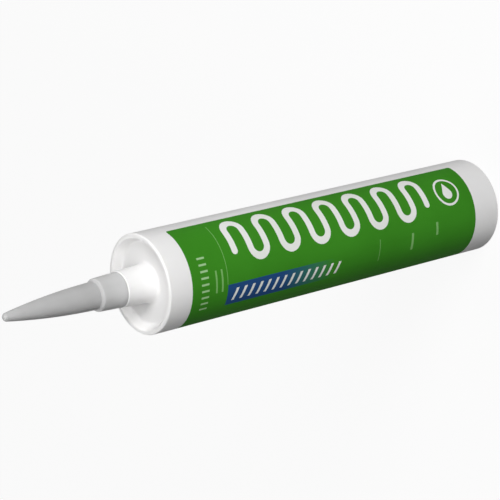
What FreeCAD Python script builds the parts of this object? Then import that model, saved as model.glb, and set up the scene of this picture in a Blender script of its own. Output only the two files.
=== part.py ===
import FreeCAD, Part

import math
import os

# A caulk cartridge for a caulking gun: a white barrel with a dished front and a neck, a long tapered
# nozzle on the neck, a foil seal across the neck, the sealant, the piston that closes the open rear
# end, and a printed film moulded flush into the barrel's outside. A land at the foot of the neck
# carries the nozzle's socket.
# It stands on its open rear end. The origin is the centre of that end, +Z runs along the axis to
# the nozzle, and the middle of the printed side faces -Y. All sizes are in millimetres.

Vector = FreeCAD.Vector
AXIS = Vector(0, 0, 1)
CENTRE = Vector(0, 0, 0)

# Driving dimensions
barrel_length = 217.5
barrel_radius = 24.75
barrel_wall = 1.25
neck_radius = 6.9
nozzle_reach = 75.5
sealant_volume = 299000.0

# Barrel
bore_radius = barrel_radius - barrel_wall
lead_in_radius = bore_radius + 0.3
lead_in_depth = 18.0
lead_in_slope = 1.5
rear_edge_cut = 0.25
rim_round = 1.0
rim_inner_radius = 22.7
rim_inner_cut = 0.3
dish_depth = 4.5
dish_floor_radius = 20.2
dish_floor_round = 1.2
front_wall = 1.5
inner_corner = 2.0

# Boss and neck, measured up from the plane of the front rim
boss_base_radius = 9.5
boss_top_radius = 8.8
boss_base_round = 1.6
boss_height = 12.0
boss_top_cut = 0.4
boss_hollow_radius = 7.2
boss_hollow_top = 9.5
hollow_mouth_cut = 0.5
neck_top = 23.0
neck_bore_radius = 4.6
neck_bore_start = 12.5
neck_edge_cut = 0.3
land_top = boss_height + 2.2
land_edge_cut = 0.3
neck_core_step = 0.62
neck_core_radius = neck_radius - neck_core_step

# Nozzle, measured up from the plane of the front rim
socket_clearance = 0.08
seat_gap = 0.05
collar_rear_radius = 8.6
collar_front_radius = 8.0
collar_front = 25.0
collar_edge_cut = 0.35
socket_mouth_cut = 0.3
cone_start = 26.2
cone_base_radius = 6.72
cone_slope = 0.0231
cone_curve = 0.00155
cone_steps = 6
cone_end = 73.9
nozzle_wall = 1.05
socket_roof = 23.6
passage_start = 25.4
passage_end = 70.5
passage_dimple = 0.8
socket_roof_step = 0.4

# Foil seal across the neck
foil_thickness = 0.2
foil_radius = neck_core_radius - 0.1

# Piston
piston_clearance = 0.05
piston_height = 14.0
piston_wall = 1.5
piston_lip = 1.6
piston_relief = 0.35
piston_floor = 1.6
piston_edge_cut = 0.3
piston_inner_cut = 0.8
piston_rib_count = 8
piston_rib_width = 1.2
piston_rib_height = 5.0
piston_rib_sink = 0.3
piston_ring_radius = 12.0
piston_ring_width = 1.4
piston_ring_height = 6.0
piston_hub_radius = 4.0
fill_clearance = 0.05
piston_gap = 0.2

# Printed film. Angles are in degrees round the axis from the middle of the printed side.
film_thickness = 0.15
film_rear = 17.0
film_front = 204.3
film_low_angle = -264.0
film_high_angle = 60.0
film_corner = 1.2
film_strips = 16
cutter_margin = 2.0

# The white bead that winds along the film
bead_angle = 24.0
bead_top = 175.9
bead_bottom = 49.1
bead_runs = 14
bead_half_height = 12.0
bead_stroke = 3.5
turn_steps = 12

# The blue panel under it, with its slanted dashes
panel_angle = -38.0
panel_top = 183.0
panel_bottom = 112.0
panel_half_height = 5.7
panel_slant = 2.4
dash_count = 14
dash_first = 178.0
dash_pitch = 5.0
dash_half_height = 3.3
dash_width = 1.6
dash_slant = 1.2

# The ringed drop near the rear end
drop_angle = 22.0
drop_z = 32.5
drop_radius = 3.1
drop_tip = 6.4
drop_shift = -1.3
ring_radius = 8.0
ring_stroke = 1.2
ring_steps = 36
foot_steps = 14

# Lines that run round the film: height of the middle, width, lowest and highest angle
hairlines = [(183.3, 0.3, -24.0, 51.0), (85.1, 0.4, -44.0, -16.0)]
small_lines = [
    (189.9, 1.0, -31.0, -5.0),
    (186.4, 1.0, -31.0, -5.0),
    (62.4, 1.5, -39.5, -18.0),
    (45.0, 1.5, -28.0, -12.0),
]

# The row of short strokes in front of those lines
stroke_z = 196.6
stroke_height = 4.4
stroke_width = 1.0
stroke_count = 9
stroke_first_angle = 12.0
stroke_pitch = -7.5

# Rows of lines that run along the film on its far side
row_count = 9
row_first_angle = -115.0
row_pitch = -13.6
row_width = 2.6
row_columns = [(30.0, 103.0), (112.0, 192.0)]


def corner_arc(before, corner, after, radius):
    """The start, middle and end of an arc that rounds a corner between two straight runs."""
    back = (before - corner).normalize()
    on = (after - corner).normalize()
    half = back.getAngle(on) / 2
    run = radius / math.tan(half)
    inward = (back + on).normalize()
    middle = corner + inward * (radius / math.sin(half) - radius)
    return corner + back * run, middle, corner + on * run


def outline(corners):
    """A wire in the XZ plane through (x, z) corners. A third number rounds a corner, or cuts it off
    where it is negative. A pair in its place is a point that an arc from the corner before passes
    through."""
    points = [Vector(c[0], 0, c[1]) for c in corners]
    count = len(points)
    edges = []
    here = points[0]
    for n in range(1, count + 1):
        corner = points[n % count]
        extra = corners[n % count][2] if len(corners[n % count]) > 2 else 0
        if isinstance(extra, tuple):
            through = Vector(extra[0], 0, extra[1])
            edges.append(Part.Arc(here, through, corner).toShape())
            here = corner
        elif extra:
            before = points[n - 1]
            after = points[(n + 1) % count]
            if extra > 0:
                start, middle, end = corner_arc(before, corner, after, extra)
                edge = Part.Arc(start, middle, end)
            else:
                start = corner + (before - corner).normalize() * -extra
                end = corner + (after - corner).normalize() * -extra
                edge = Part.LineSegment(start, end)
            edges.append(Part.LineSegment(here, start).toShape())
            edges.append(edge.toShape())
            here = end
        elif (corner - here).Length > 0:
            edges.append(Part.LineSegment(here, corner).toShape())
            here = corner
    return Part.Wire(edges)


def turned(corners):
    """The solid of revolution of a closed outline of (radius, z) corners. The first is left sharp."""
    return Part.Face(outline(corners)).revolve(CENTRE, AXIS, 360)


def barrel_profile():
    """The barrel's section, from the sealant's way through the neck round to the outside."""
    rim = barrel_length
    floor = rim - dish_depth
    inside = floor - front_wall
    return [
        (neck_bore_radius, rim + (neck_bore_start + neck_top) / 2),
        (neck_bore_radius, rim + neck_bore_start),
        (boss_hollow_radius, rim + boss_hollow_top),
        (boss_hollow_radius, inside, -hollow_mouth_cut),
        (bore_radius - inner_corner, inside),
        (bore_radius, inside - inner_corner),
        (bore_radius, lead_in_depth + lead_in_slope),
        (lead_in_radius, lead_in_depth),
        (lead_in_radius, 0, -rear_edge_cut),
        (barrel_radius, 0, -rear_edge_cut),
        (barrel_radius, rim, rim_round),
        (rim_inner_radius, rim, -rim_inner_cut),
        (dish_floor_radius, floor, dish_floor_round),
        (boss_base_radius, floor, boss_base_round),
        (boss_top_radius, rim + boss_height, -boss_top_cut),
        (neck_radius, rim + boss_height),
        (neck_radius, rim + land_top, -land_edge_cut),
        (neck_core_radius, rim + land_top),
        (neck_core_radius, rim + neck_top, -neck_edge_cut),
        (neck_bore_radius, rim + neck_top),
    ]


def film():
    """The film's blank: a thin sheet round the barrel, with its corners rounded. It is laid up from
    narrow strips, so that its face stays smooth however the print divides it."""
    height = film_front - film_rear
    sweep = (film_high_angle - film_low_angle) / film_strips
    base = Vector(0, 0, film_rear)
    outer = Part.makeCylinder(barrel_radius, height, base, AXIS, sweep)
    strip = outer.cut(Part.makeCylinder(barrel_radius - film_thickness, height, base, AXIS, sweep))
    strips = []
    for n in range(film_strips):
        strips.append(strip.copy())
        strips[-1].rotate(CENTRE, AXIS, film_low_angle - 90 + n * sweep)
    strips[0] = rounded_side(strips[0], film_low_angle)
    strips[-1] = rounded_side(strips[-1], film_high_angle)
    return strips[0].multiFuse(strips[1:])


def rounded_side(strip, angle):
    """A strip with the two corners of its side at an angle rounded."""
    side = Part.Vertex(place(barrel_radius, angle, 0)).extrude(AXIS * barrel_length)
    corners = []
    for edge in strip.Edges:
        if abs(edge.Length - film_thickness) < 0.001 and edge.distToShape(side)[0] < 0.001:
            corners.append(edge)
    return strip.makeFillet(film_corner, corners)


def place(radius, angle, z):
    """The point at a radius, at an angle from the middle of the printed side, and at a height."""
    turn = math.radians(angle)
    return Vector(radius * math.sin(turn), -radius * math.cos(turn), z)


def printed(sheet, drawing, angle):
    """The part of the film under a flat drawing in the XZ plane, laid on the film at an angle."""
    depth = barrel_radius / 2 + cutter_margin
    block = Part.Face(drawing).extrude(Vector(0, -depth, 0))
    block.translate(Vector(0, -depth, 0))
    block.rotate(CENTRE, AXIS, angle)
    return block.common(sheet)


def band(sheet, middle, width, low_angle, high_angle):
    """The part of the film in a line that runs round it."""
    base = Vector(0, 0, middle - width / 2)
    sector = Part.makeCylinder(barrel_radius + cutter_margin, width, base, AXIS, high_angle - low_angle)
    sector.rotate(CENTRE, AXIS, low_angle - 90)
    return sector.common(sheet)


def arc_corners(x, z, radius, first, last, steps):
    """Corners along an arc about (x, z), from one angle to another, in degrees from +X to +Z."""
    corners = []
    for n in range(steps + 1):
        angle = math.radians(first + (last - first) * n / steps)
        corners.append((x + radius * math.cos(angle), z + radius * math.sin(angle)))
    return corners


def bead(sheet):
    """The white bead: a stroke with round ends that runs to and fro in even loops. Its round parts
    are drawn in short straight steps."""
    pitch = (bead_top - bead_bottom) / (bead_runs - 1)
    turn = pitch / 2
    reach = bead_half_height - bead_stroke / 2 - turn
    half = bead_stroke / 2
    there = []
    back = []
    side = 1
    for n in range(bead_runs - 1):
        arc = (side * reach, bead_top - pitch * n - turn)
        there += arc_corners(*arc, turn + side * half, 90, 90 - 180 * side, turn_steps)
        back += arc_corners(*arc, turn - side * half, 90, 90 - 180 * side, turn_steps)
        side = -side
    start = arc_corners(-reach, bead_top, half, 270, 90, turn_steps)
    end = arc_corners(side * reach, bead_bottom, half, 90 - 180 * side, 90, turn_steps)
    return printed(sheet, outline(there + end + back[::-1] + start), bead_angle)


def round_outline(radius):
    """A round outline about the drop's middle, in short straight steps."""
    last = 360 - 360 / ring_steps
    return outline(arc_corners(0, drop_z, radius, 0, last, ring_steps - 1))


def drop(sheet):
    """The white drop in its ring. It has a round foot and straight sides that meet at its tip."""
    tangent = math.degrees(math.acos(drop_radius / drop_tip))
    foot = arc_corners(drop_shift, drop_z, drop_radius, tangent, 360 - tangent, foot_steps)
    mark = outline([(drop_shift + drop_tip, drop_z), *foot])
    outer = printed(sheet, round_outline(ring_radius), drop_angle)
    ring = outer.cut(printed(sheet, round_outline(ring_radius - ring_stroke), drop_angle))
    return Part.makeCompound([ring, printed(sheet, mark, drop_angle)])


def panel(sheet):
    """The blue panel, with a slanted lower end."""
    edge = outline(
        [
            (-panel_half_height, panel_top),
            (-panel_half_height, panel_bottom - panel_slant),
            (panel_half_height, panel_bottom + panel_slant),
            (panel_half_height, panel_top),
        ]
    )
    return printed(sheet, edge, panel_angle)


def dashes(sheet):
    """The row of slanted white dashes on the panel."""
    found = []
    for n in range(dash_count):
        middle = dash_first - n * dash_pitch
        edge = outline(
            [
                (-dash_half_height, middle + dash_slant + dash_width / 2),
                (-dash_half_height, middle + dash_slant - dash_width / 2),
                (dash_half_height, middle - dash_slant - dash_width / 2),
                (dash_half_height, middle - dash_slant + dash_width / 2),
            ]
        )
        found.append(printed(sheet, edge, panel_angle))
    return Part.makeCompound(found)


def bands(sheet, lines):
    """A group of lines that run round the film."""
    return Part.makeCompound([band(sheet, *line) for line in lines])


def upright(sheet, middle, height, width, angle):
    """The part of the film in a line that runs along it."""
    half = math.degrees(width / 2 / barrel_radius)
    return band(sheet, middle, height, angle - half, angle + half)


def strokes(sheet):
    """The row of short strokes near the film's front edge."""
    found = []
    for n in range(stroke_count):
        angle = stroke_first_angle + n * stroke_pitch
        found.append(upright(sheet, stroke_z, stroke_height, stroke_width, angle))
    return Part.makeCompound(found)


def rows(sheet):
    """The rows of lines on the film's far side, in two columns."""
    found = []
    for n in range(row_count):
        angle = row_first_angle + n * row_pitch
        for low, high in row_columns:
            found.append(upright(sheet, (low + high) / 2, high - low, row_width, angle))
    return Part.makeCompound(found)


def ball_point(radius, base, top):
    """A point halfway up a ball-shaped end, which is round the axis and as wide as its base."""
    height = top - base
    ball = (radius**2 + height**2) / (2 * height)
    slope = math.asin(radius / ball) / 2
    return ball * math.sin(slope), top - ball + ball * math.cos(slope)


def cone_radius(height):
    """The nozzle's outer radius at a height above the front rim. Its taper steepens evenly."""
    run = height - cone_start
    return cone_base_radius - cone_slope * run - cone_curve * run**2


def cone_profile(start, end, wall):
    """The taper from one height to another as short straight runs, inside a wall of a thickness."""
    points = []
    for n in range(cone_steps + 1):
        height = start + (end - start) * n / cone_steps
        points.append((cone_radius(height) - wall, barrel_length + height))
    return points


def nozzle():
    """The nozzle: a collar that fits over the neck, and a long taper with a closed tip."""
    rim = barrel_length
    rear = rim + boss_height + seat_gap
    tip = rim + nozzle_reach
    socket = neck_radius + socket_clearance
    roof = cone_radius(cone_start) - nozzle_wall - socket_roof_step
    return turned(
        [
            (socket, rear + (neck_top - boss_height) / 2),
            (socket, rear, -socket_mouth_cut),
            (collar_rear_radius, rear, -collar_edge_cut),
            (collar_front_radius, rim + collar_front, -collar_edge_cut),
            *cone_profile(cone_start, cone_end, 0),
            (0, tip, ball_point(cone_radius(cone_end), rim + cone_end, tip)),
            (0, rim + passage_end + passage_dimple),
            *reversed(cone_profile(passage_start, passage_end, nozzle_wall)),
            (roof, rim + socket_roof),
            (socket, rim + socket_roof),
        ]
    )


def foil():
    """The foil across the mouth of the neck."""
    return Part.makeCylinder(foil_radius, foil_thickness, Vector(0, 0, barrel_length + neck_top))


def fill_top():
    """The height of the front wall's inner face."""
    return barrel_length - dish_depth - front_wall


def piston_front():
    """The height of the piston's front face, which leaves room for the volume of sealant."""
    bore_area = math.pi * (bore_radius - fill_clearance) ** 2
    boss_part = math.pi * boss_hollow_radius**2 * (boss_hollow_top + dish_depth + front_wall)
    neck_part = math.pi * neck_bore_radius**2 * (neck_top - boss_hollow_top)
    return fill_top() - (sealant_volume - boss_part - neck_part) / bore_area


def piston_travel():
    """How far the piston slides before its front meets the front wall."""
    return fill_top() - 2 * piston_gap - piston_front()


def piston():
    """The piston: a cup, open to the rear, with a lip at each end and ribs inside."""
    front = piston_front()
    rear = front - piston_height
    lip = bore_radius - piston_clearance
    relief = lip - piston_relief
    inner = lip - piston_wall
    floor = front - piston_floor
    chamfer = inner_corner + piston_gap
    cup = turned(
        [
            (0, front),
            (0, floor),
            (inner, floor, -piston_inner_cut),
            (inner, rear, -piston_edge_cut),
            (lip, rear, -piston_edge_cut),
            (lip, rear + piston_lip),
            (relief, rear + piston_lip + piston_relief),
            (relief, front - chamfer - piston_lip - piston_relief),
            (lip, front - chamfer - piston_lip),
            (lip, front - chamfer),
            (lip - chamfer, front),
        ]
    )
    return cup.multiFuse(piston_ribs(inner, floor)).removeSplitter()


def piston_ribs(wall, floor):
    """The hub, the ring and the ribs under the piston's floor, sunk a little into it and the wall."""
    base = Vector(0, 0, floor - piston_ring_height)
    height = piston_ring_height + piston_rib_sink
    hub = Part.makeCylinder(piston_hub_radius, height, base)
    ring = Part.makeCylinder(piston_ring_radius, height, base)
    ring = ring.cut(Part.makeCylinder(piston_ring_radius - piston_ring_width, height, base))
    start = piston_hub_radius / 2
    length = wall + piston_rib_sink - start
    ribs = []
    for n in range(piston_rib_count):
        corner = Vector(start, -piston_rib_width / 2, floor - piston_rib_height)
        rib = Part.makeBox(length, piston_rib_width, piston_rib_height + piston_rib_sink, corner)
        rib.rotate(CENTRE, AXIS, 360 / piston_rib_count * (n + 0.5))
        ribs.append(rib)
    return [hub, ring, *ribs]


def sealant():
    """The sealant, from the piston through the boss and neck to the foil."""
    rim = barrel_length
    top = fill_top() - fill_clearance
    side = bore_radius - fill_clearance
    hollow = boss_hollow_radius - fill_clearance
    neck = neck_bore_radius - fill_clearance
    foot = piston_front() + piston_gap
    chamfer = inner_corner + piston_gap
    return turned(
        [
            (0, foot),
            (side - chamfer, foot),
            (side, foot - chamfer),
            (side, top - inner_corner),
            (side - inner_corner, top),
            (hollow, top),
            (hollow, rim + boss_hollow_top),
            (neck, rim + neck_bore_start),
            (neck, rim + neck_top - fill_clearance),
            (0, rim + neck_top - fill_clearance),
        ]
    )


def build():
    """Every node of the cartridge by name."""
    sheet = film()
    marks = {
        "label_bead": bead(sheet),
        "label_drop": drop(sheet),
        "label_dashes": dashes(sheet),
        "label_strokes": strokes(sheet),
        "label_small_lines": bands(sheet, small_lines),
        "label_hairlines": bands(sheet, hairlines),
        "label_rows": rows(sheet),
    }
    marks["label_panel"] = panel(sheet).cut(marks["label_dashes"])
    ground = sheet.cut(list(marks.values()))
    barrel = turned(barrel_profile()).cut(sheet)
    return {
        "barrel": barrel,
        "nozzle": nozzle(),
        "neck_foil": foil(),
        "sealant": sealant(),
        "piston": piston(),
        "label_film": ground,
        **marks,
    }


def main():
    os.makedirs("parts", exist_ok=True)
    for name, shape in build().items():
        shape.exportStep(f"parts/{name}.step")
        print(name, len(shape.Solids), "solid(s),", round(shape.Volume, 1), "mm3, valid", shape.isValid())
    print("piston front", round(piston_front(), 2), "travel", round(piston_travel(), 2))


main()
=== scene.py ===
import math

import bmesh
import bpy
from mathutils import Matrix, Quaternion, Vector


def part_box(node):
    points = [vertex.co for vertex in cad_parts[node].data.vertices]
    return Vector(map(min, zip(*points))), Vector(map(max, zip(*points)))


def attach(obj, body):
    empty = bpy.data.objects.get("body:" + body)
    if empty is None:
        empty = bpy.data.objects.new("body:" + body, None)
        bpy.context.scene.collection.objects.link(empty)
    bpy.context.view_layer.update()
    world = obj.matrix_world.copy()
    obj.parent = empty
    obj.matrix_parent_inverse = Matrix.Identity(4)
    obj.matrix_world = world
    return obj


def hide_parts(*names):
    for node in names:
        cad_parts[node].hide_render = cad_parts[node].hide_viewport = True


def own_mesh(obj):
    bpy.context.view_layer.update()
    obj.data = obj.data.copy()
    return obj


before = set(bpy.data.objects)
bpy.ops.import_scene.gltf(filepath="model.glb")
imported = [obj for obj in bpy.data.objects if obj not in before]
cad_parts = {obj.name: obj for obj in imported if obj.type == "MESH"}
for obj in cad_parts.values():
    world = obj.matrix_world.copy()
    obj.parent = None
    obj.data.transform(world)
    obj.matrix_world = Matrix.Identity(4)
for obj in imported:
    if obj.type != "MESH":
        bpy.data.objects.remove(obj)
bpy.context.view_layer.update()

# Sizes are in metres. The cartridge stands on its open rear end at z = 0, with its nozzle up and
# the middle of its printed side towards -Y. The camera is rolled, so that it lies across the view.
MM = 0.001

NOZZLE_LOW, NOZZLE_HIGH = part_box("nozzle")
FOIL_LOW, FOIL_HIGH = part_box("neck_foil")
SEALANT_LOW, SEALANT_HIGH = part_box("sealant")

BARREL_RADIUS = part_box("barrel")[1][0]

# Turned pieces: points round a ring, the share of a ring's radius that its end's inner ring has, and
# the steepest angle between faces that still looks smooth
SEGMENTS = 128
END_SHARE = 0.2
RING_REACH = 0.01 * MM
SMOOTH_ANGLE = math.radians(35)

# The front rim's plane, which heights on the neck and nozzle are measured from
RIM = 217.5 * MM

# Nozzle: the same shape as its solid, with an even taper and soft edges
SOCKET_RADIUS = 6.98 * MM
SOCKET_ROOF = RIM + 23.6 * MM
ROOF_RADIUS = 5.27 * MM
COLLAR_REAR_RADIUS = NOZZLE_HIGH[0]
COLLAR_FRONT_RADIUS = 8.0 * MM
COLLAR_FRONT = RIM + 25.0 * MM
COLLAR_EDGE = 0.35 * MM

# Its taper and passage, in millimetres: heights above the rim's plane, and radii
TAPER_START = 26.2
TAPER_END = 73.6
TAPER_RADIUS = 6.72
TAPER_SLOPE = 0.0231
TAPER_CURVE = 0.00155
TAPER_STEPS = 24
NOZZLE_WALL = 1.05
PASSAGE_START = 25.4
PASSAGE_END = 70.4
PASSAGE_POINT = 0.4
TIP_STEPS = 8
TIP_TURN = 84.0
TIP_FULLNESS = 0.8

# Foil seal: each ring's share of the radius, and its rise above the underside in millimetres
FOIL_RADIUS = FOIL_HIGH[0]
FOIL_EDGE = 0.99
FOIL_RINGS = ((1.0, 0.0), (0.97, 0.10), (0.8, 0.12), (0.76, 0.05), (0.70, 0.05), (0.66, 0.12), (0.3, 0.2))

# Sealant
FILL_TOP = 211.45 * MM
FILL_FOOT = SEALANT_LOW[2]
FILL_RADIUS = SEALANT_HIGH[0]
FILL_CUT = 2.2 * MM
HOLLOW_RADIUS = 7.15 * MM
HOLLOW_TOP = 227.0 * MM
NECK_FILL_RADIUS = 4.55 * MM
NECK_FILL_START = 230.0 * MM

# The neck's thread
THREAD_ROOT_RADIUS = 6.28 * MM
THREAD_CREST_RADIUS = 6.9 * MM
THREAD_SINK = 0.2 * MM
THREAD_FOOT = 1.7 * MM
THREAD_CREST = 0.8 * MM
THREAD_PITCH = 3.0 * MM
THREAD_START = RIM + 15.4 * MM
THREAD_TURNS = 2
THREAD_STEPS = 72
THREAD_FADE = 10
SECTION_REACH = 0.05 * MM

# Rows on the far side of the film: degrees round it from +Y to +X, half of the bare line along the
# middle of a row as a share of the pitch, and how the lines break up
FIRST_ROW = -65.0
ROW_PITCH = 13.6
ROW_SPLIT = 0.065
LINE_SHIFT = 7.3
RUNS_PER_METRE = 140.0
GAP_LEVEL = 0.56

# The heights between which the blue panel fades into the green
PANEL_BLUE = 0.148
PANEL_GREEN = 0.116

# The camera of the photograph
CAMERA_PLACE = (0.0, -0.75848, 0.71553)
CAMERA_TARGET = (0.00361, 0.0, 0.14885)
CAMERA_ROLL = math.radians(-103.576)
CAMERA_LENS = 137.45
SENSOR_WIDTH = 36.0

# Lamps: name, place, width and watts. They all face one point on the cartridge.
LAMP_AIM = (0, 0, 0.14)
LAMPS = (
    ("key_softbox", (0.113, -0.503, 1.112), 0.5, 6.0),
    ("upper_softbox", (1.092, -1.676, 1.056), 1.0, 23.0),
    ("front_softbox", (-0.35, -1.4, 0.75), 0.8, 8.0),
    ("top_softbox", (1.3, 0.45, 0.45), 0.8, 6.5),
    ("back_softbox", (-0.7, 1.6, 0.35), 1.0, 16.0),
)
ROOM_LIGHT = 0.02
FLOOR_WIDTH = 12.0


class Amount:
    """A number worked out by a finish's nodes, which takes Python's operators."""

    def __init__(self, finish, socket):
        self.finish = finish
        self.socket = socket

    def maths(self, operation, *numbers, clamp=False):
        settings = {"operation": operation, "use_clamp": clamp}
        return self.finish.node("ShaderNodeMath", settings, dict(enumerate(numbers)))

    def __add__(self, other):
        return self.maths("ADD", self, other)

    __radd__ = __add__

    def __sub__(self, other):
        return self.maths("SUBTRACT", self, other)

    def __rsub__(self, other):
        return self.maths("SUBTRACT", other, self)

    def __mul__(self, other):
        return self.maths("MULTIPLY", self, other)

    __rmul__ = __mul__

    def __truediv__(self, other):
        return self.maths("DIVIDE", self, other)

    def whole(self):
        return self.maths("FLOOR", self)

    def above(self, limit):
        return self.maths("GREATER_THAN", self, limit)

    def clamped(self):
        return self.maths("ADD", self, 0.0, clamp=True)

    def between(self, low, high):
        """0 at low, 1 at high, with a straight rise between them."""
        return ((self - low) / (high - low)).clamped()


class Finish:
    """The nodes of a new material, or of an owner that is given, such as the world."""

    def __init__(self, name, owner=None):
        self.owner = owner or bpy.data.materials.new(name)
        self.owner.use_nodes = True
        self.tree = self.owner.node_tree
        self.tree.nodes.clear()

    def node(self, kind, settings=None, inputs=None, output=0):
        """A new node of a kind, with its settings first and then its sockets' values or links."""
        made = self.tree.nodes.new(kind)
        for name, value in (settings or {}).items():
            if name == "stops":
                self.set_stops(made.color_ramp, value)
            else:
                setattr(made, name, value)
        for name, value in (inputs or {}).items():
            if isinstance(value, Amount):
                self.tree.links.new(value.socket, made.inputs[name])
            else:
                made.inputs[name].default_value = value
        return Amount(self, made.outputs[output] if made.outputs else None)

    def set_stops(self, ramp, stops):
        while len(ramp.elements) < len(stops):
            ramp.elements.new(1.0)
        for element, (position, colour) in zip(ramp.elements, stops):
            element.position = position
            element.color = colour

    def place(self):
        """The place on the object."""
        return self.node("ShaderNodeTexCoord", output="Object")

    def axis(self, letter, source=None):
        """One of a place's three numbers."""
        source = source or self.place()
        return self.node("ShaderNodeSeparateXYZ", inputs={"Vector": source}, output=letter)

    def stretched(self, x, y, z):
        """The place with each of its numbers multiplied."""
        return self.node("ShaderNodeMapping", inputs={"Vector": self.place(), "Scale": (x, y, z)})

    def wrapped(self, along=1.0):
        """The place told by its way round the barrel and its height."""
        place = self.place()
        x = self.axis("X", place)
        round_it = x.maths("ARCTAN2", x, self.axis("Y", place)) * BARREL_RADIUS
        height = self.axis("Z", place) * along
        return self.node("ShaderNodeCombineXYZ", inputs={"X": round_it, "Y": 0.0, "Z": height})

    def noise(self, scale, detail=2.0, roughness=0.5, place=None):
        place = place or self.place()
        inputs = {"Vector": place, "Scale": scale, "Detail": detail, "Roughness": roughness}
        return self.node("ShaderNodeTexNoise", inputs=inputs)

    def mixed(self, share, first, second):
        """A colour between two others."""
        return self.node("ShaderNodeMix", {"data_type": "RGBA"}, {0: share, 6: first, 7: second}, 2)

    def bump(self, height, distance, strength, under=None):
        inputs = {"Height": height, "Distance": distance, "Strength": strength}
        if under:
            inputs["Normal"] = under
        return self.node("ShaderNodeBump", inputs=inputs)

    def surface(self, inputs):
        """Ends the finish in one plain shader."""
        shader = self.node("ShaderNodeBsdfPrincipled", inputs=inputs)
        self.node("ShaderNodeOutputMaterial", inputs={"Surface": shader})
        return self.owner


def shade(red, green, blue):
    return (red, green, blue, 1.0)


def grey(level):
    return shade(level, level, level)


def barrel_plastic():
    """White polyethylene, with faint draw lines along it, a fine grain and the odd rubbed patch."""
    finish = Finish("barrel_plastic")
    drawn = finish.noise(900.0, 3.0, 0.6, finish.wrapped(along=0.02))
    grain = finish.noise(2600.0)
    cloud = finish.noise(38.0, 3.0)
    rubbed = cloud.between(0.3, 0.7)
    soft = finish.bump(grain, 0.00002, 0.5)
    return finish.surface(
        {
            "Base Color": finish.mixed(rubbed, shade(0.83, 0.825, 0.82), shade(0.87, 0.865, 0.86)),
            "Roughness": 0.36 + cloud * 0.16,
            "Normal": finish.bump(drawn, 0.00004, 0.4, soft),
            "Specular IOR Level": 0.2,
            "Subsurface Weight": 0.12,
            "Subsurface Radius": (0.004, 0.004, 0.0035),
            "Subsurface Scale": 1.0,
            "IOR": 1.5,
        }
    )


def nozzle_plastic():
    """Milky grey polyethylene, which is paler where the white neck shows through its collar."""
    finish = Finish("nozzle_plastic")
    height = finish.axis("Z").between(NOZZLE_LOW[2], NOZZLE_HIGH[2])
    depth = finish.node(
        "ShaderNodeValToRGB",
        {
            "stops": [
                (0.0, grey(0.68)),
                (0.09, grey(0.61)),
                (0.2, grey(0.51)),
                (0.34, grey(0.45)),
                (0.8, grey(0.44)),
                (1.0, grey(0.44)),
            ]
        },
        {"Fac": height},
    )
    cloud = finish.noise(70.0, 3.0)
    bloomed = finish.mixed(cloud.between(0.35, 0.75) * 0.12, depth, grey(0.8))
    soft = finish.bump(finish.noise(2400.0), 0.00002, 0.5)
    rings = finish.noise(1500.0, 2.0, 0.5, finish.stretched(0.03, 0.03, 1.0))
    return finish.surface(
        {
            "Base Color": bloomed,
            "Roughness": 0.42 + cloud * 0.14,
            "Normal": finish.bump(rings, 0.00004, 0.3, soft),
            "Specular IOR Level": 0.2,
            "Subsurface Weight": 0.6,
            "Subsurface Radius": (0.006, 0.006, 0.006),
            "Subsurface Scale": 1.0,
            "IOR": 1.5,
        }
    )


def piston_plastic():
    """Natural polyethylene, a little yellower and duller than the barrel."""
    finish = Finish("piston_plastic")
    cloud = finish.noise(60.0, 3.0)
    flow = finish.noise(260.0, 3.0, 0.6)
    colour = finish.mixed(cloud.between(0.3, 0.7), shade(0.76, 0.75, 0.71), shade(0.82, 0.81, 0.78))
    soft = finish.bump(finish.noise(2000.0), 0.00003, 0.5)
    return finish.surface(
        {
            "Base Color": colour,
            "Roughness": 0.42 + cloud * 0.16,
            "Normal": finish.bump(flow, 0.00005, 0.3, soft),
            "Subsurface Weight": 0.15,
            "Subsurface Radius": (0.004, 0.004, 0.0035),
            "Subsurface Scale": 1.0,
            "IOR": 1.5,
        }
    )


# The film's inks, each with the colour of its thicker places where it has one of its own
GREEN = shade(0.045, 0.252, 0.016)
DEEP_GREEN = shade(0.039, 0.225, 0.013)
BLUE = shade(0.017, 0.07, 0.215)
INK_WHITE = shade(0.84, 0.84, 0.83)
THIN_WHITE = shade(0.74, 0.77, 0.72)
PALE_GREEN = shade(0.38, 0.6, 0.32)
DEEP_PALE_GREEN = shade(0.33, 0.55, 0.27)
MIST_GREEN = shade(0.21, 0.46, 0.15)
DEEP_MIST_GREEN = shade(0.18, 0.42, 0.12)


def film_skin(finish, ink):
    """The film's own skin over an ink: a little orange peel, a fine grain and scuffs."""
    peel = finish.noise(420.0, 2.0, 0.4)
    soft = finish.bump(finish.noise(2600.0), 0.000015, 0.4)
    return finish.surface(
        {
            "Base Color": ink,
            "Roughness": 0.3 + finish.noise(55.0, 3.0) * 0.16,
            "Normal": finish.bump(peel, 0.00003, 0.3, soft),
            "Specular IOR Level": 0.15,
            "IOR": 1.48,
        }
    )


def printed(name, ink, deeper):
    """One ink, with faint clouds where it was laid down thicker."""
    finish = Finish(name)
    cloud = finish.noise(24.0, 3.0).between(0.35, 0.65)
    return film_skin(finish, finish.mixed(cloud, ink, deeper))


def blue_panel():
    """Blue ink that fades into the green towards the panel's rear end."""
    finish = Finish("label_blue")
    share = finish.axis("Z").between(PANEL_BLUE, PANEL_GREEN)
    return film_skin(finish, finish.mixed(share, BLUE, GREEN))


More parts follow.
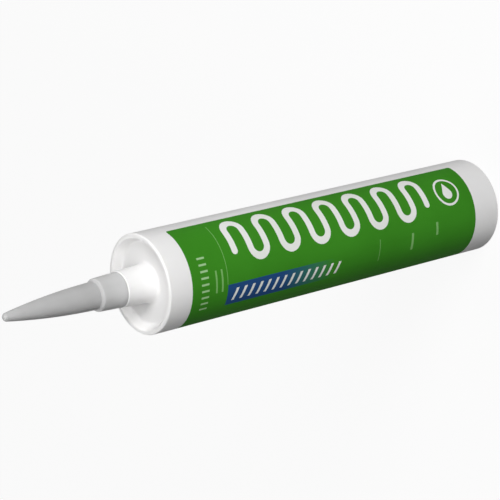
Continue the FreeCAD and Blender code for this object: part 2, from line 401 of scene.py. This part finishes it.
def broken_rows():
    """Two thin white lines along each row, broken into short runs, with green between them."""
    finish = Finish("label_rows")
    place = finish.place()
    x = finish.axis("X", place)
    turn = x.maths("ARCTAN2", x, finish.axis("Y", place)) * (180.0 / math.pi)
    count = (turn - FIRST_ROW) / ROW_PITCH + 0.5
    across = count - count.whole()
    between = across.above(0.5 - ROW_SPLIT) * (1.0 - across.above(0.5 + ROW_SPLIT))
    line = (count * 2.0).whole() * LINE_SHIFT
    run = finish.axis("Z", place) * RUNS_PER_METRE
    spot = finish.node("ShaderNodeCombineXYZ", inputs={"X": line, "Y": 0.0, "Z": run})
    gap = finish.noise(1.0, 2.0, 0.6, spot).above(GAP_LEVEL)
    return film_skin(finish, finish.mixed((gap + between).clamped(), THIN_WHITE, GREEN))


def foil_metal():
    """Dull aluminium foil with rolling lines."""
    finish = Finish("foil")
    lines = finish.noise(5000.0, 2.0, 0.5, finish.stretched(1.0, 0.04, 1.0))
    crinkle = finish.noise(500.0, 3.0)
    return finish.surface(
        {
            "Base Color": finish.mixed(crinkle, shade(0.78, 0.78, 0.8), shade(0.86, 0.86, 0.87)),
            "Metallic": 1.0,
            "Roughness": 0.42 + lines * 0.2,
            "Normal": finish.bump(crinkle, 0.0001, 0.5),
        }
    )


def sealant_paste():
    """Uncured white sealant."""
    finish = Finish("sealant_paste")
    cloud = finish.noise(90.0, 3.0)
    return finish.surface(
        {
            "Base Color": finish.mixed(cloud, shade(0.8, 0.8, 0.78), shade(0.85, 0.85, 0.83)),
            "Roughness": 0.25 + cloud * 0.1,
            "Normal": finish.bump(cloud, 0.0003, 0.4),
            "Subsurface Weight": 0.2,
            "Subsurface Radius": (0.003, 0.003, 0.003),
            "Subsurface Scale": 1.0,
        }
    )


def dress(material, *nodes):
    """Gives CAD nodes a finish."""
    for node in nodes:
        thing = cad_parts[node]
        thing.data.materials.clear()
        thing.data.materials.append(material)


def dress_cartridge():
    dress(barrel_plastic(), "barrel")
    dress(piston_plastic(), "piston")
    dress(printed("label_green", GREEN, DEEP_GREEN), "label_film")
    dress(blue_panel(), "label_panel")
    dress(printed("label_white", INK_WHITE, THIN_WHITE), "label_bead", "label_drop", "label_dashes")
    dress(printed("label_pale_green", PALE_GREEN, DEEP_PALE_GREEN), "label_strokes")
    mist = printed("label_mist_green", MIST_GREEN, DEEP_MIST_GREEN)
    dress(mist, "label_small_lines", "label_hairlines")
    dress(broken_rows(), "label_rows")


def start_ring(name, radius, z):
    """Starts a turned piece with its first ring, open and selected, in edit mode."""
    bpy.ops.object.select_all(action="DESELECT")
    bpy.ops.mesh.primitive_circle_add(vertices=SEGMENTS, radius=radius, location=(0, 0, z))
    piece = bpy.context.object
    piece.name = name
    bpy.ops.object.transform_apply(location=True, rotation=True, scale=True)
    bpy.ops.object.mode_set(mode="EDIT")
    bpy.ops.mesh.select_all(action="SELECT")
    return piece


def draw_ring(now, then):
    """Draws the selected ring on from one radius and height to another."""
    rise = {"value": (0, 0, then[1] - now[1]), "orient_type": "GLOBAL"}
    bpy.ops.mesh.extrude_edges_move(TRANSFORM_OT_translate=rise)
    size = then[0] / now[0]
    if size != 1.0:
        bpy.ops.transform.resize(value=(size, size, 1), center_override=(0, 0, then[1]))


def close_ring():
    """Closes the selected ring with a fan of faces round its middle."""
    bpy.ops.mesh.extrude_edges_move(TRANSFORM_OT_translate={"value": (0, 0, 0)})
    bpy.ops.mesh.merge(type="CENTER")


def select_ring(piece, radius, z):
    """Selects only the ring of edges at a radius and height."""
    mesh = bmesh.from_edit_mesh(piece.data)
    for point in mesh.verts:
        away = abs(math.hypot(point.co.x, point.co.y) - radius)
        point.select_set(away < RING_REACH and abs(point.co.z - z) < RING_REACH)
    mesh.select_flush(True)
    bmesh.update_edit_mesh(piece.data)


def turned_piece(name, profile, body, material, stands_for):
    """A closed turned piece, drawn ring by ring along a profile of (radius, z) points. Both of its
    ends are on the axis, a short way in from the first and the last ring."""
    piece = start_ring(name, *profile[0])
    close_ring()
    select_ring(piece, *profile[0])
    for now, then in zip(profile, profile[1:]):
        draw_ring(now, then)
    close_ring()
    bpy.ops.mesh.select_all(action="SELECT")
    bpy.ops.mesh.normals_make_consistent(inside=False)
    bpy.ops.object.mode_set(mode="OBJECT")
    bpy.ops.object.shade_smooth_by_angle(angle=SMOOTH_ANGLE)
    piece.data.materials.append(material)
    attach(piece, body)
    if stands_for:
        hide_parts(stands_for)
    return piece


def round_corner(before, corner, after, radius, steps=4):
    """Points along an arc that takes a corner of a profile off."""
    corner = Vector(corner)
    back = (Vector(before) - corner).normalized()
    on = (Vector(after) - corner).normalized()
    half = back.angle(on) / 2
    middle = corner + (back + on).normalized() * (radius / math.sin(half))
    start = corner + back * (radius / math.tan(half)) - middle
    end = corner + on * (radius / math.tan(half)) - middle
    spokes = [start.slerp(end, n / steps).normalized() for n in range(steps + 1)]
    return [tuple(middle + spoke * radius) for spoke in spokes]


def taper_radius(height, wall=0.0):
    """The nozzle's radius at a height in millimetres above the rim, inside a wall."""
    run = height - TAPER_START
    return (TAPER_RADIUS - TAPER_SLOPE * run - TAPER_CURVE * run**2 - wall) * MM


def taper(start, end, wall=0.0):
    points = []
    for n in range(TAPER_STEPS + 1):
        height = start + (end - start) * n / TAPER_STEPS
        points.append((taper_radius(height, wall), RIM + height * MM))
    return points


def nozzle_tip():
    """The rounded end of the nozzle, from the end of its taper almost to the axis."""
    radius, base = taper_radius(TAPER_END), RIM + TAPER_END * MM
    rise = NOZZLE_HIGH[2] - base
    points = []
    for n in range(1, TIP_STEPS + 1):
        turn = math.radians(TIP_TURN * n / TIP_STEPS)
        points.append((radius * math.cos(turn) ** TIP_FULLNESS, base + rise * math.sin(turn)))
    return points


def make_nozzle():
    """The nozzle: drawn from the end of its passage back to the socket, round its rear edge and out
    along the collar and the taper to the tip."""
    rear = NOZZLE_LOW[2]
    passage = taper(PASSAGE_START, PASSAGE_END, NOZZLE_WALL)
    inner_end = (END_SHARE * passage[-1][0], passage[-1][1] + PASSAGE_POINT * MM)
    mouth = (SOCKET_RADIUS, rear)
    rear_edge = (COLLAR_REAR_RADIUS, rear)
    front_edge = (COLLAR_FRONT_RADIUS, COLLAR_FRONT)
    shoulder = taper(TAPER_START, TAPER_END)
    profile = [
        inner_end,
        *reversed(passage),
        (ROOF_RADIUS, SOCKET_ROOF),
        (SOCKET_RADIUS, SOCKET_ROOF),
        *round_corner((SOCKET_RADIUS, SOCKET_ROOF), mouth, rear_edge, COLLAR_EDGE),
        *round_corner(mouth, rear_edge, front_edge, COLLAR_EDGE),
        *round_corner(rear_edge, front_edge, shoulder[0], COLLAR_EDGE),
        *shoulder,
        *nozzle_tip(),
    ]
    turned_piece("nozzle_moulding", profile, "nozzle", nozzle_plastic(), "nozzle")


def start_thread():
    """Starts the thread with its section, an open trapezoid that is narrower at the crest."""
    bpy.ops.object.select_all(action="DESELECT")
    bpy.ops.mesh.primitive_plane_add(size=1.0, location=(0, 0, 0))
    ridge = bpy.context.object
    ridge.name = "neck_thread"
    bpy.ops.object.mode_set(mode="EDIT")
    bpy.ops.mesh.select_all(action="SELECT")
    inner = THREAD_ROOT_RADIUS - THREAD_SINK
    depth = THREAD_CREST_RADIUS - inner
    middle = inner + depth / 2
    bpy.ops.transform.rotate(value=math.pi / 2, orient_axis="X", orient_type="GLOBAL")
    bpy.ops.transform.resize(value=(depth, 1, THREAD_FOOT))
    bpy.ops.transform.translate(value=(middle, 0, THREAD_START))
    mesh = bmesh.from_edit_mesh(ridge.data)
    for point in mesh.verts:
        point.select_set(point.co.x > middle)
    mesh.select_flush(True)
    bmesh.update_edit_mesh(ridge.data)
    narrower = THREAD_CREST / THREAD_FOOT
    crest = (THREAD_CREST_RADIUS, 0, THREAD_START)
    bpy.ops.transform.resize(value=(1, 1, narrower), center_override=crest)
    bpy.ops.mesh.select_all(action="SELECT")
    bpy.ops.mesh.delete(type="ONLY_FACE")
    bpy.ops.object.mode_set(mode="OBJECT")
    return ridge


def wind_up(ridge):
    """Winds the thread's section up round the neck."""
    winding = ridge.modifiers.new("winding", "SCREW")
    winding.axis = "Z"
    winding.angle = 2 * math.pi
    winding.screw_offset = THREAD_PITCH
    winding.iterations = THREAD_TURNS
    winding.steps = THREAD_STEPS
    winding.render_steps = THREAD_STEPS
    winding.use_merge_vertices = False
    bpy.ops.object.modifier_apply(modifier=winding.name)


def make_thread():
    """The neck's thread: a ridge wound up round the neck, which fades out at both of its ends."""
    ridge = start_thread()
    wind_up(ridge)
    bpy.ops.object.mode_set(mode="EDIT")
    fade_ends(ridge)
    bpy.ops.mesh.select_all(action="SELECT")
    bpy.ops.mesh.fill_holes(sides=4)
    bpy.ops.mesh.select_all(action="SELECT")
    bpy.ops.mesh.normals_make_consistent(inside=False)
    bpy.ops.object.mode_set(mode="OBJECT")
    bpy.ops.object.shade_smooth_by_angle(angle=SMOOTH_ANGLE)
    ridge.data.materials.append(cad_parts["barrel"].data.materials[0])
    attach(ridge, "barrel")


def fade_ends(ridge):
    """Sinks the thread's first and last sections into the neck, less and less away from the end."""
    count = THREAD_TURNS * THREAD_STEPS
    depth = THREAD_CREST_RADIUS - THREAD_ROOT_RADIUS + THREAD_SINK / 2
    for n in range(THREAD_FADE):
        share = 1 - (n + 1) / (THREAD_FADE + 1)
        size = 1 - share * depth / THREAD_CREST_RADIUS
        for step in (n, count - n):
            turn = 2 * math.pi * step / THREAD_STEPS
            z = THREAD_START + THREAD_PITCH * step / THREAD_STEPS
            select_section(ridge, turn, z)
            bpy.ops.transform.resize(value=(size, size, 1), center_override=(0, 0, z))


def select_section(ridge, turn, z):
    """Selects the crest of the thread's section at an angle and height."""
    mesh = bmesh.from_edit_mesh(ridge.data)
    middle = Vector((math.cos(turn), math.sin(turn))) * THREAD_CREST_RADIUS
    for point in mesh.verts:
        away = (point.co.xy - middle).length
        point.select_set(away < SECTION_REACH and abs(point.co.z - z) < THREAD_CREST)
    mesh.select_flush(True)
    bmesh.update_edit_mesh(ridge.data)


def make_foil():
    """The foil seal: a thin disc pressed down round its edge, with one pressed ring."""
    under = FOIL_LOW[2]
    profile = [(END_SHARE * FOIL_RADIUS, under), (FOIL_EDGE * FOIL_RADIUS, under)]
    for share, rise in FOIL_RINGS:
        profile.append((share * FOIL_RADIUS, under + rise * MM))
    turned_piece("foil_seal", profile, "barrel", foil_metal(), "neck_foil")


def make_sealant():
    """The sealant: the fill behind the front wall, which gives way to the piston, and the plug in
    the boss and neck."""
    paste = sealant_paste()
    shaft = FILL_RADIUS - FILL_CUT
    fill = turned_piece(
        "sealant_fill",
        [
            (END_SHARE * shaft, FILL_FOOT + FILL_CUT),
            (shaft, FILL_FOOT + FILL_CUT),
            (FILL_RADIUS, FILL_FOOT),
            (FILL_RADIUS, FILL_TOP - FILL_CUT),
            (shaft, FILL_TOP),
            (END_SHARE * shaft, FILL_TOP),
        ],
        "barrel",
        paste,
        "sealant",
    )
    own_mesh(fill)
    plug = [
        (END_SHARE * HOLLOW_RADIUS, FILL_TOP),
        (HOLLOW_RADIUS, FILL_TOP),
        (HOLLOW_RADIUS, HOLLOW_TOP),
        (NECK_FILL_RADIUS, NECK_FILL_START),
        (NECK_FILL_RADIUS, SEALANT_HIGH[2]),
        (END_SHARE * NECK_FILL_RADIUS, SEALANT_HIGH[2]),
    ]
    turned_piece("sealant_plug", plug, "barrel", paste, None)


def place_camera():
    """The camera that took the photograph, rolled on its side."""
    place = Vector(CAMERA_PLACE)
    aim = (Vector(CAMERA_TARGET) - place).to_track_quat("-Z", "Y")
    roll = Quaternion((0, 0, 1), CAMERA_ROLL)
    bpy.ops.object.camera_add(location=place, rotation=(aim @ roll).to_euler())
    camera = bpy.context.object
    camera.data.lens = CAMERA_LENS
    camera.data.sensor_width = SENSOR_WIDTH
    camera.data.clip_start = 0.01
    bpy.context.scene.camera = camera


def shown_white(finish):
    """1 for what the eye sees, and 0 for the light that falls on the object."""
    return finish.node("ShaderNodeLightPath", output="Is Camera Ray")


def lay_floor():
    """A plain white floor, wide enough to fill the view. The eye sees it white, with a little of the
    shadow left. The light that it throws back is that of a dark floor, so the underside stays dark."""
    bpy.ops.mesh.primitive_plane_add(size=FLOOR_WIDTH, location=(0, 0, 0))
    ground = bpy.context.object
    ground.name = "floor"
    finish = Finish("floor_white")
    dark = finish.node("ShaderNodeBsdfDiffuse", inputs={"Color": grey(0.1)})
    pale = finish.node("ShaderNodeBsdfDiffuse", inputs={"Color": grey(0.8)})
    white = finish.node("ShaderNodeEmission", inputs={"Color": grey(1.0), "Strength": 1.0})
    seen = finish.node("ShaderNodeMixShader", inputs={0: 0.9, 1: pale, 2: white})
    shown = finish.node("ShaderNodeMixShader", inputs={0: shown_white(finish), 1: dark, 2: seen})
    finish.node("ShaderNodeOutputMaterial", inputs={"Surface": shown})
    ground.data.materials.append(finish.owner)


def light_world():
    """Even light from all round, and white behind everything."""
    world = bpy.data.worlds.new("room")
    bpy.context.scene.world = world
    sky = Finish("room", world)
    dim = sky.node("ShaderNodeBackground", inputs={"Color": grey(1.0), "Strength": ROOM_LIGHT})
    white = sky.node("ShaderNodeBackground", inputs={"Color": grey(1.0), "Strength": 1.0})
    mix = sky.node("ShaderNodeMixShader", inputs={0: shown_white(sky), 1: dim, 2: white})
    sky.node("ShaderNodeOutputWorld", inputs={"Surface": mix})


def softbox(name, place, size, watts):
    """A square lamp that faces the cartridge."""
    aim = (Vector(LAMP_AIM) - Vector(place)).to_track_quat("-Z", "Y")
    bpy.ops.object.light_add(type="AREA", location=place, rotation=aim.to_euler())
    lamp = bpy.context.object
    lamp.name = name
    lamp.data.shape = "SQUARE"
    lamp.data.size = size
    lamp.data.energy = watts


def light_room():
    for lamp in LAMPS:
        softbox(*lamp)
    light_world()


def main():
    bpy.context.scene.view_settings.view_transform = "Standard"
    place_camera()
    lay_floor()
    light_room()
    dress_cartridge()
    make_thread()
    make_nozzle()
    make_foil()
    make_sealant()


main()
